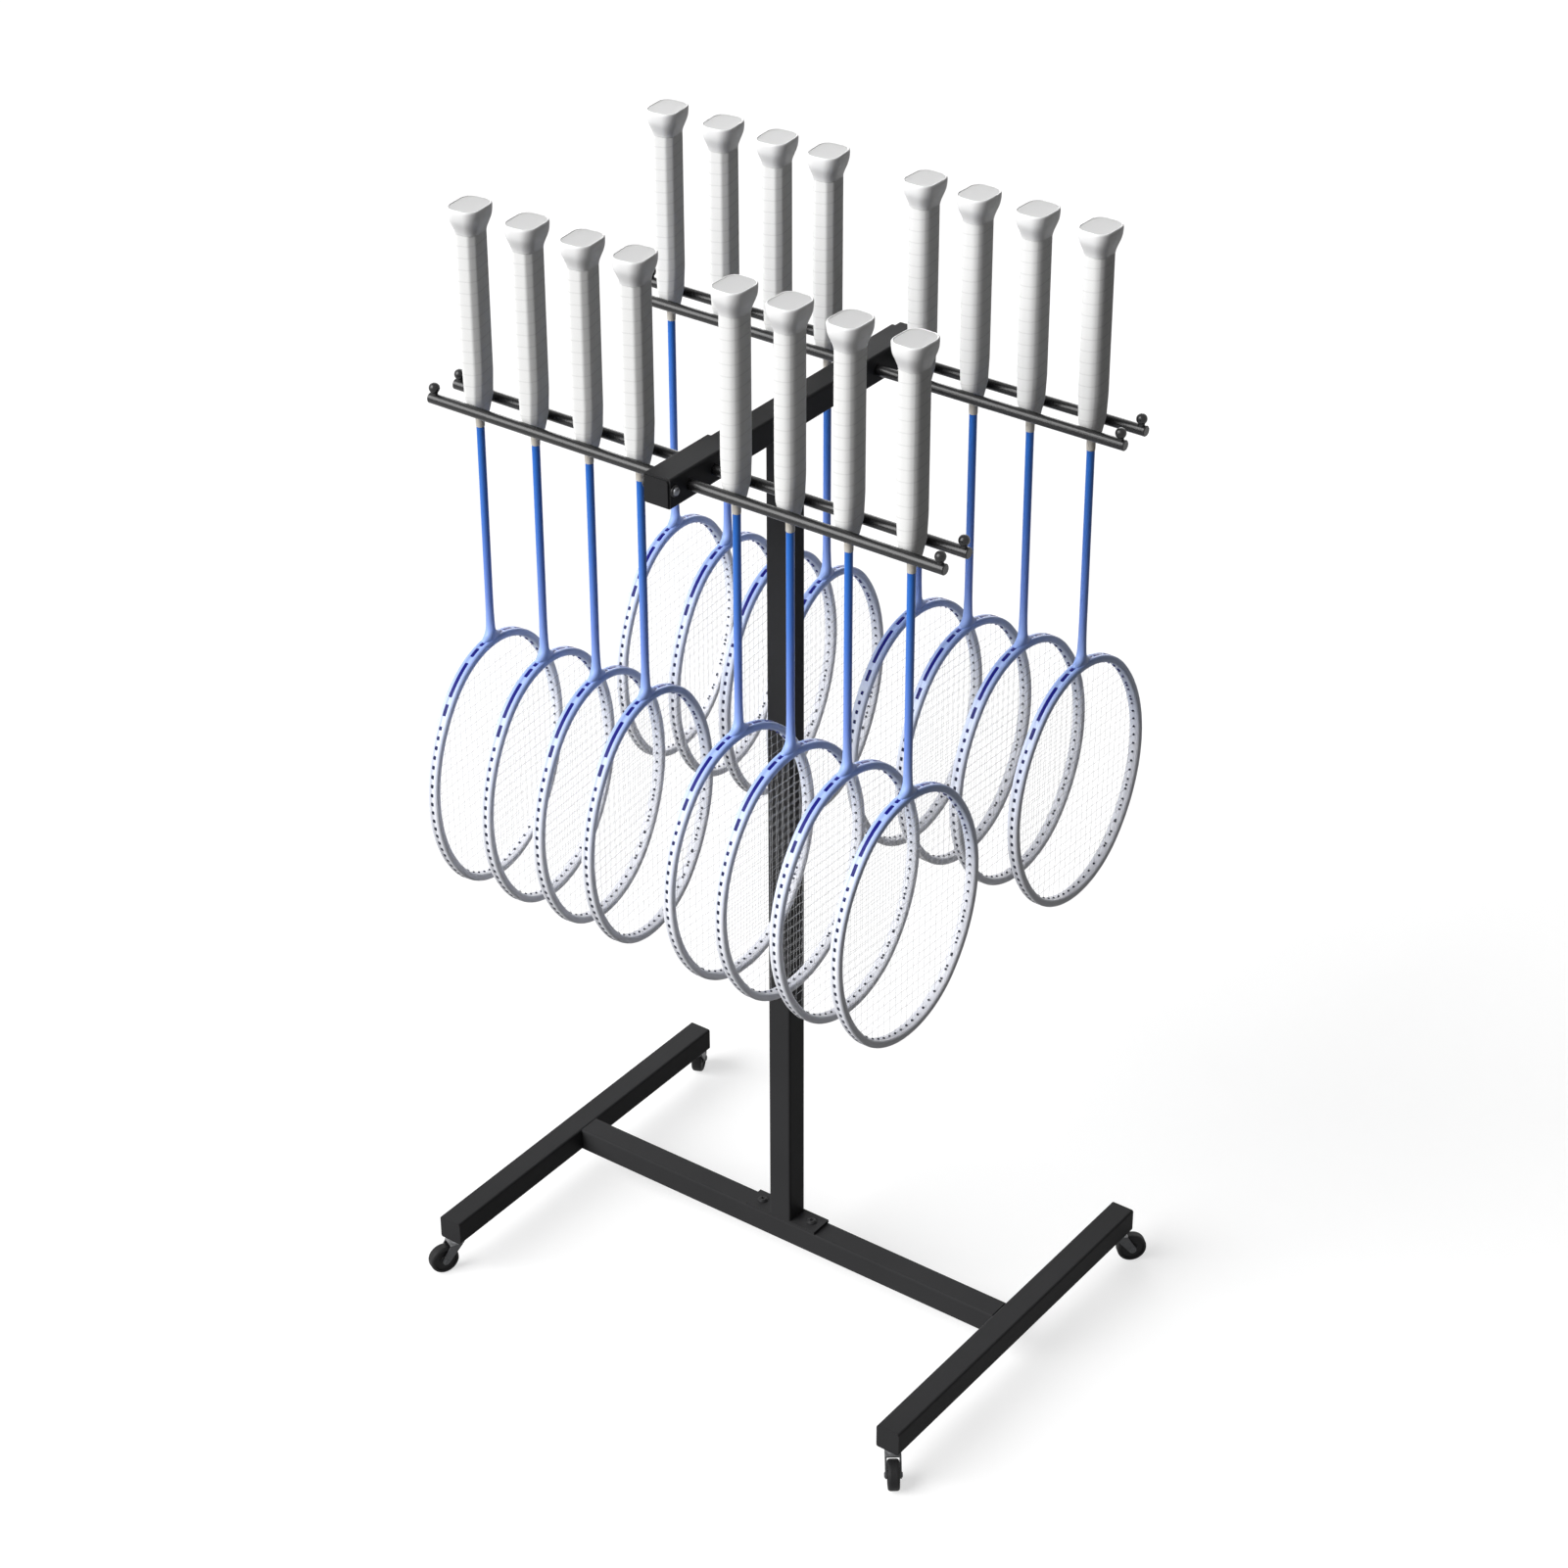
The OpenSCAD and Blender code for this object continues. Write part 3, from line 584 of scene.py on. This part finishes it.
def eight_sided(half_x, half_y, bevel, edge_r, steps=3):
    """Outline of an eight-sided bar with rounded edges, counter-clockwise from the +X side."""
    corners = []
    for sx, sy in ((1, 1), (-1, 1), (-1, -1), (1, -1)):
        pair = [(sx * half_x, sy * (half_y - bevel)), (sx * (half_x - bevel), sy * half_y)]
        corners += pair if sx * sy > 0 else pair[::-1]
    bend = math.pi / 4
    inset = edge_r * math.tan(bend / 2)
    points = []
    for k, corner in enumerate(corners):
        here = Vector(corner)
        before = (Vector(corners[k - 1]) - here).normalized()
        after = (Vector(corners[(k + 1) % 8]) - here).normalized()
        centre = here + (before + after).normalized() * edge_r / math.cos(bend / 2)
        start = here + before * inset - centre
        points += [centre + Matrix.Rotation(bend * j / steps, 2) @ start for j in range(steps + 1)]
    return points


def rounded(half_x, half_y, radius, steps=6):
    """Outline of a rectangle with rounded corners, counter-clockwise from the +X side."""
    points = []
    for quarter, (sx, sy) in enumerate(((1, 1), (-1, 1), (-1, -1), (1, -1))):
        for step in range(steps + 1):
            angle = math.pi / 2 * (quarter + step / steps)
            points.append((sx * (half_x - radius) + radius * math.cos(angle),
                           sy * (half_y - radius) + radius * math.sin(angle)))
    return points


def handle_size(height):
    """Half width, half depth and bevel of the handle at a height from 0 to GRIP_TOP."""
    low, high = next(pair for pair in zip(HANDLE, HANDLE[1:]) if height <= pair[1][0])
    share = (height - low[0]) / (high[0] - low[0])
    return [start + (end - start) * share for start, end in zip(low[1:], high[1:])]


def grip(material, roundness):
    """The wrapped handle. It carries its own places along, so the finish can wind round it."""
    rings = []
    for height in GRIP_LEVELS:
        half_x, half_y, bevel = handle_size(height)
        rings.append([(*point, height)
                      for point in eight_sided(half_x, half_y, bevel, roundness * bevel)])
    return to_mesh("grip", close_up(loft(rings)), material, smooth=50,
                   own_x=lambda p: p.x, own_y=lambda p: p.y, own_z=lambda p: p.z)


def butt(material):
    rings = [[(*point, height) for point in rounded(half_x, half_y, radius)]
             for height, half_x, half_y, radius in BUTT]
    return to_mesh("butt_cap", close_up(loft(rings)), material, smooth=40,
                   rise=lambda p: p.z, lid=lambda p: float(LID[0] < p.z < LID[1]))


def cone(material):
    return to_mesh("cone", close_up(turned(CONE)), material, smooth=35)


def oval(distance, outward):
    """Place (y, z) so far outward of the hoop's outer face, at a distance from the throat."""
    end = END_R * END_SWEEP / 2
    side = SIDE_R * SIDE_SWEEP
    if distance <= end:
        centre, radius = (0, END_CENTRE), END_R
        angle = math.pi / 2 + distance / END_R
    elif distance <= end + side:
        centre, radius = (SIDE_CENTRE, 0), SIDE_R
        angle = math.pi / 2 + END_SWEEP / 2 + (distance - end) / SIDE_R
    else:
        centre, radius = (0, -END_CENTRE), END_R
        angle = math.pi / 2 + END_SWEEP / 2 + SIDE_SWEEP + (distance - end - side) / END_R
    return Vector(centre) + Vector((math.cos(angle), math.sin(angle))) * (radius + outward)


def hoop_section(steps=4):
    """Outline of the hoop's section as (outward from the outer face, across the bed)."""
    points = []
    for quarter, (outward, across) in enumerate(((-HOOP_EDGE, 1), (HOOP_EDGE - HOOP_T, 1),
                                                 (HOOP_EDGE - HOOP_T, -1), (-HOOP_EDGE, -1))):
        for step in range(steps + 1):
            angle = math.pi / 2 * (quarter + step / steps)
            points.append((outward + HOOP_EDGE * math.cos(angle),
                           across * (HOOP_DEPTH / 2 - HOOP_EDGE) + HOOP_EDGE * math.sin(angle)))
    points += [(outward, -GROOVE_HALF - past) for outward, past in GROOVE_SIDE]
    points += [(outward, GROOVE_HALF + past) for outward, past in reversed(GROOVE_SIDE)]
    return points


def hoop(material):
    """The hoop: its section, spun from the throat along the four arcs and back to it."""
    shape = bmesh.new()
    verts, edges = add_outline(shape, [(across, 0, HEAD_TOP + outward)
                                       for outward, across in hoop_section()])
    section = verts + edges
    arcs = ((0, END_CENTRE, END_SWEEP / 2, 16), (SIDE_CENTRE, 0, SIDE_SWEEP, 22),
            (0, -END_CENTRE, END_SWEEP, 32), (-SIDE_CENTRE, 0, SIDE_SWEEP, 22),
            (0, END_CENTRE, END_SWEEP / 2, 16))
    for centre_y, centre_z, sweep, steps in arcs:
        spun = bmesh.ops.spin(shape, geom=section, cent=(0, centre_y, HEAD_MID + centre_z),
                              axis=(1, 0, 0), angle=sweep, steps=steps)
        section = spun["geom_last"]
    bmesh.ops.remove_doubles(shape, verts=shape.verts[:], dist=0.01)
    bmesh.ops.recalc_face_normals(shape, faces=shape.faces[:])
    return to_mesh("racket_frame", shape, material, smooth=30, rise=lambda p: p.z)


def flare(above, start, end, growth, power):
    """Half size of the shaft at a height above HEAD_TOP."""
    share = min(max((above - start) / (end - start), 0), 1)
    return SHAFT_R + growth * share ** power


def shaft(material, sides=24):
    """The shaft, from inside the grip down to where it flares into the hoop."""
    rings = []
    for above in (SHAFT_TOP - HEAD_TOP, *THROAT_LEVELS):
        half_x = flare(above, *THICKENS)
        half_y = min(flare(above, *WIDENS), THROAT_HALF)
        angles = [2 * math.pi * k / sides for k in range(sides)]
        rings.append([(half_x * math.cos(angle), half_y * math.sin(angle), HEAD_TOP + above)
                      for angle in angles])
    return to_mesh("racket_shaft", close_up(loft(rings)), material, smooth=60,
                   rise=lambda p: p.z)


def bed_half_height(y):
    """Half height of the string bed at a distance from its middle line."""
    if abs(y) <= INNER_MEET[0]:
        return END_CENTRE + math.sqrt(INNER_END_R ** 2 - y ** 2)
    return math.sqrt(INNER_SIDE_R ** 2 - (abs(y) + SIDE_CENTRE) ** 2)


def bed_half_width(z):
    """Half width of the string bed at a height from its middle."""
    if abs(z) <= INNER_MEET[1]:
        return math.sqrt(INNER_SIDE_R ** 2 - z ** 2) - SIDE_CENTRE
    return math.sqrt(INNER_END_R ** 2 - (abs(z) - END_CENTRE) ** 2)


def centred(count, pitch):
    return [(k - (count - 1) / 2) * pitch for k in range(count)]


def string_lines():
    """The strings as lists of points: each passes over and under the ones that it crosses."""
    mains, crosses = centred(MAINS, MAIN_PITCH), centred(CROSSES, CROSS_PITCH)
    lines = []
    for i, y in enumerate(mains):
        reach = bed_half_height(y) + STRING_TAIL
        woven = [(WEAVE * (-1) ** (i + j), y, HEAD_MID + z)
                 for j, z in enumerate(crosses) if abs(z) < reach - STRAIGHT_END]
        lines.append([(0, y, HEAD_MID - reach), *woven, (0, y, HEAD_MID + reach)])
    for j, z in enumerate(crosses):
        reach = bed_half_width(z) + STRING_TAIL
        woven = [(-WEAVE * (-1) ** (i + j), y, HEAD_MID + z)
                 for i, y in enumerate(mains) if abs(y) < reach - STRAIGHT_END]
        lines.append([(0, -reach, HEAD_MID + z), *woven, (0, reach, HEAD_MID + z)])
    return lines


def string_bed(material):
    """The strings as one mesh of thin tubes."""
    curve = bpy.data.curves.new("strings", "CURVE")
    curve.dimensions = "3D"
    curve.bevel_depth = STRING_R
    curve.bevel_resolution = 0
    for line in string_lines():
        spline = curve.splines.new("POLY")
        spline.points.add(len(line) - 1)
        for point, place in zip(spline.points, line):
            point.co = (*place, 1)
    lines = bpy.data.objects.new("strings", curve)
    bpy.context.scene.collection.objects.link(lines)
    graph = bpy.context.evaluated_depsgraph_get()
    mesh = bpy.data.meshes.new_from_object(lines.evaluated_get(graph))
    bpy.data.objects.remove(lines)
    mesh.materials.append(material)
    mesh.shade_smooth()
    return mesh


def string_holes():
    """Places (y, z) and outward directions of the string holes at the hoop's inner face."""
    holes = [Vector((y, end * bed_half_height(y)))
             for y in centred(MAINS, MAIN_PITCH) for end in (-1, 1)]
    holes += [Vector((end * bed_half_width(z), z))
              for z in centred(CROSSES, CROSS_PITCH) for end in (-1, 1)]
    for place in holes:
        if abs(place.y) > INNER_MEET[1]:
            centre = Vector((0, math.copysign(END_CENTRE, place.y)))
        else:
            centre = Vector((-math.copysign(SIDE_CENTRE, place.x), 0))
        yield place, (place - centre).normalized()


def collars(material):
    """The collar of a grommet round each string end, at the hoop's inner face."""
    shape = bmesh.new()
    for place, way in string_holes():
        turn = Vector((0, 0, 1)).rotation_difference(Vector((0, *way))).to_matrix().to_4x4()
        where = Matrix.Translation((0, place.x, HEAD_MID + place.y)) @ turn
        bmesh.ops.create_cone(shape, cap_ends=True, segments=10, radius1=COLLAR_NARROW,
                              radius2=COLLAR_WIDE, depth=COLLAR_LENGTH, matrix=where)
    return to_mesh("collars", shape, material, smooth=40, rise=lambda p: p.z)


def groove_mark(material, low, high, half_width, top, steps):
    """A strip or dash in the groove on both sides of the head, with tapered ends."""
    sunk = -GROOVE_DEPTH - MARK_SINK
    section = ((sunk, -1), (top - MARK_BEVEL, -1), (top, -MARK_FLAT),
               (top, MARK_FLAT), (top - MARK_BEVEL, 1), (sunk, 1))
    length = high - low - 2 * TAPER_LENGTH
    stations = [(low, TAPER_TIP),
                *((low + TAPER_LENGTH + length * k / steps, 1) for k in range(steps + 1)),
                (high, TAPER_TIP)]
    made = []
    for side in (-1, 1):
        rings = []
        for distance, width in stations:
            ring = []
            for outward, across in section:
                place = oval(distance, outward)
                ring.append((across * width * half_width, -side * place.x, HEAD_MID + place.y))
            rings.append(ring)
        made.append(to_mesh("mark", close_up(loft(rings)), material, smooth=40,
                            rise=lambda p: p.z))
    return made


def groove_marks(material):
    """The long strips by the throat, and the row of dashes round the rest of the head."""
    made = []
    for low, high in STRIPS:
        steps = max(2, round((high - low) / STRIP_STEP))
        made += groove_mark(material, low, high, *STRIP_SIZE, steps=steps)
    middle = FIRST_DASH
    while middle < LAST_DASH:
        made += groove_mark(material, middle - DASH_LENGTH / 2, middle + DASH_LENGTH / 2,
                            *DASH_SIZE, steps=1)
        middle += DASH_PITCH
    return made


def hang_rackets():
    """Makes each kind of piece once, and puts a copy of it into place at every racket."""
    lacquer, navy, wrap = frame_lacquer(), grommet_plastic(), grip_wrap()
    shared = {
        "cap": butt(butt_plastic()),
        "cone": cone(cone_plastic()),
        "frame": joined("racket_frame", [hoop(lacquer), shaft(lacquer)]),
        "strings": string_bed(racket_string()),
        "grommets": joined("grommets", [collars(navy), *groove_marks(navy)]),
    }
    grips = {side: grip(wrap, roundness) for side, roundness in ROUNDNESS.items()}
    for row in ROWS:
        for number in range(1, IN_ROW + 1):
            body = f"racket_{row}_{number}"
            side = "left" if number <= IN_ROW // 2 else "right"
            low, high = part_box(body + "_grip")
            seat = ((low.x + high.x) / 2, (low.y + high.y) / 2, high.z - BUTT_TOP * MM)
            place = (Matrix.Translation(seat) @ Matrix.Rotation(math.radians(TURN[side]), 4, "Z")
                     @ Matrix.Scale(MM, 4))
            for kind, pattern in {**shared, "grip": grips[side]}.items():
                mesh = pattern.copy()
                mesh.transform(place)
                replaced = [f"{body}_{kind}"] if kind in REPLACING else []
                add_piece(f"{body}_{kind}_look", mesh, body, RACKET_SLOTS[kind], *replaced)


def fit_bolts(material):
    """A flanged bolt head and its dome nut at both ends of each cross bolt."""
    low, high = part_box("crossbar_bolts")
    reach = BOLT_FLANGE_R * MM
    far_end = [(radius, -height) for radius, height in reversed(BOLT)]
    shape = close_up(turned([*far_end, *BOLT], segments=36))
    pattern = to_mesh("cross_bolt", shape, material, smooth=40,
                      from_axis=lambda p: math.hypot(p.x, p.y))
    bolts = []
    for y in (low.y + reach, high.y - reach):
        mesh = pattern.copy()
        mesh.transform(Matrix.Translation(((low.x + high.x) / 2, y, high.z - reach))
                       @ Matrix.Rotation(math.pi / 2, 4, "Y") @ Matrix.Scale(MM, 4))
        bolts.append(mesh)
    add_piece("crossbar_bolts_look", joined("crossbar_bolts", bolts), "stand", "blackened_steel",
              "crossbar_bolts")


def coat_stand():
    """Gives each CAD node of the stand and the casters that stays in view its finish."""
    finishes = {name: dark_finish(name, **looks) for name, looks in DARK_FINISHES.items()}
    finishes["zinc_plate"] = zinc_plate()
    for name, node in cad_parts.items():
        if name.startswith("racket_") or name == "crossbar_bolts":
            continue
        finish, slot = next((look for start, look in NODE_LOOKS.items() if name.startswith(start)),
                            ("powder_coat", "powder_coat"))
        node.data.materials.clear()
        node.data.materials.append(finishes[finish])


def aim_camera():
    data = bpy.data.cameras.new("camera")
    data.lens = LENS
    data.sensor_width = SENSOR
    camera = bpy.data.objects.new("camera", data)
    bpy.context.scene.collection.objects.link(camera)
    turn = (Matrix.Rotation(math.radians(CAMERA_TURN), 4, "Z")
            @ Matrix.Rotation(math.radians(90 - CAMERA_DROP), 4, "X")
            @ Matrix.Rotation(math.radians(CAMERA_ROLL), 4, "Z"))
    camera.matrix_world = Matrix.Translation(CAMERA_PLACE) @ turn
    bpy.context.scene.camera = camera


def light_up():
    """The lamps, the even light from all round, and the white floor."""
    scene = bpy.context.scene
    for name, (direction, strength, width) in LAMPS.items():
        light = bpy.data.lights.new(name, "SUN")
        light.energy = strength
        light.angle = math.radians(width)
        lamp = bpy.data.objects.new(name, light)
        lamp.rotation_euler = Vector(direction).to_track_quat("Z", "Y").to_euler()
        scene.collection.objects.link(lamp)

    world = bpy.data.worlds.new("surround")
    world.use_nodes = True
    scene.world = world
    sky = Surround(world)
    sky.set("Color", linear_grey(1))
    sky.set("Strength", AMBIENT + (1 - AMBIENT) * seen_directly(sky))

    plane = bmesh.new()
    bmesh.ops.create_grid(plane, x_segments=1, y_segments=1, size=FLOOR_HALF)
    mesh = bpy.data.meshes.new("floor")
    plane.to_mesh(mesh)
    plane.free()
    mesh.materials.append(floor_finish())
    floor = bpy.data.objects.new("floor", mesh)
    scene.collection.objects.link(floor)
    scene.view_settings.view_transform = "Standard"


aim_camera()
light_up()
coat_stand()
fit_bolts(bolt_steel())
hang_rackets()
